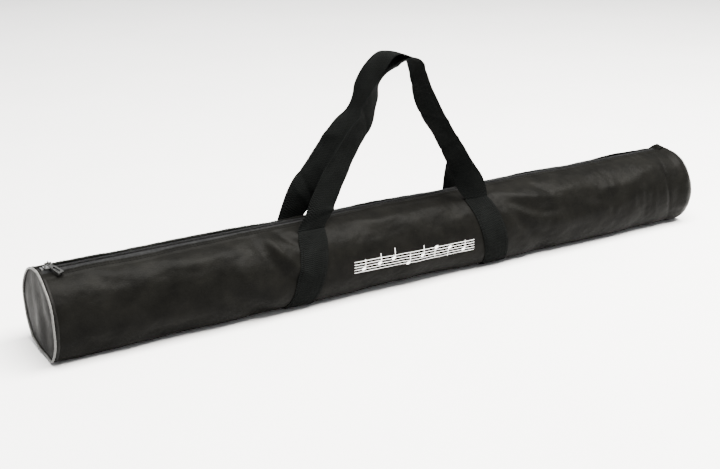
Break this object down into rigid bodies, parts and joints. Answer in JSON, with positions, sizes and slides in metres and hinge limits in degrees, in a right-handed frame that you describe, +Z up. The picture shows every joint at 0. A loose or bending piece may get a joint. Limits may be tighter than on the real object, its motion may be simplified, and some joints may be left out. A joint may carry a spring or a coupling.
{
  "type": "zipped carrying bag",
  "caption": "Long round soft bag that zips along its top, carried by webbing handles, for a folded stand or tripod.",
  "frame": {"origin": "on the surface the bag lies on, midway between its ends and its flanks", "axes": "+X along the bag from the end with the zip slider to the other end, +Y towards the rear, +Z up"},
  "size_m": [0.98, 0.1196, 0.3038],
  "materials": {
    "nylon": "black woven nylon, coated inside, soft sheen",
    "disc_nylon": "black woven nylon that faces the light",
    "webbing": "black ribbed polypropylene webbing",
    "piping": "light grey covered cord, satin",
    "binding": "black woven binding tape",
    "zip_tape": "black woven zip tape",
    "zip_coil": "black nylon coil, satin",
    "metal": "nickel-plated, bright satin"
  },
  "bodies": {
    "root": {"body_panel": "nylon", "end_disc_left": "disc_nylon", "end_disc_right": "disc_nylon", "piping_left": "piping", "piping_right": "piping", "seam_binding_left": "binding", "seam_binding_right": "binding", "belly_strap_left": "webbing", "belly_strap_right": "webbing", "front_zip_end_left": "zip_tape", "front_zip_end_right": "zip_tape", "rear_zip_end_left": "zip_tape", "rear_zip_end_right": "zip_tape", "zip_stop_left": "metal", "zip_end_tab_right": "webbing"},
    "front_flap": {"front_flap_panel": "nylon", "front_zip_tape": "zip_tape", "front_zip_coil": "zip_coil", "front_strap_left": "webbing", "front_strap_right": "webbing"},
    "front_handle": {"front_handle_loop": "webbing"},
    "rear_flap": {"rear_flap_panel": "nylon", "rear_zip_tape": "zip_tape", "rear_zip_coil": "zip_coil", "rear_strap_left": "webbing", "rear_strap_right": "webbing"},
    "rear_handle": {"rear_handle_loop": "webbing"},
    "zip_slider": {"slider_body": "metal"},
    "pull_ring": {"pull_ring": "metal"},
    "pull_tab": {"pull_tab": "metal"}
  },
  "joints": [
    {"name": "front_flap_open", "type": "hinge", "parent": "root", "child": "front_flap", "pos_m": [0, -0.0601, 0.046], "axis": [1, 0, 0], "range_deg": [0, 65]},
    {"name": "rear_flap_open", "type": "hinge", "parent": "root", "child": "rear_flap", "pos_m": [0, 0.0601, 0.046], "axis": [1, 0, 0], "range_deg": [-65, 0]},
    {"name": "front_handle_swing", "type": "hinge", "parent": "front_flap", "child": "front_handle", "pos_m": [0, -0.02962, 0.09944], "axis": [1, 0, 0], "range_deg": [0, 110]},
    {"name": "rear_handle_swing", "type": "hinge", "parent": "rear_flap", "child": "rear_handle", "pos_m": [0, 0.02962, 0.09944], "axis": [1, 0, 0], "range_deg": [-110, 0]},
    {"name": "zip_slide", "type": "slide", "parent": "root", "child": "zip_slider", "axis": [0.9999, 0.0156, 0.0018], "range_m": [0, 0.9385]},
    {"name": "pull_lift", "type": "hinge", "parent": "zip_slider", "child": "pull_ring", "pos_m": [-0.47652, -0.00466, 0.1099], "axis": [-0.9999, -0.0156, -0.0018], "range_deg": [0, 180]},
    {"name": "pull_swing", "type": "hinge", "parent": "pull_ring", "child": "pull_tab", "pos_m": [-0.47646, -0.0079, 0.10888], "axis": [0.003, -0.3007, 0.9537], "range_deg": [-73, 27]}
  ],
  "couplings": [
    {"joint": "rear_flap_open", "follows": "front_flap_open", "ratio": -1}
  ]
}
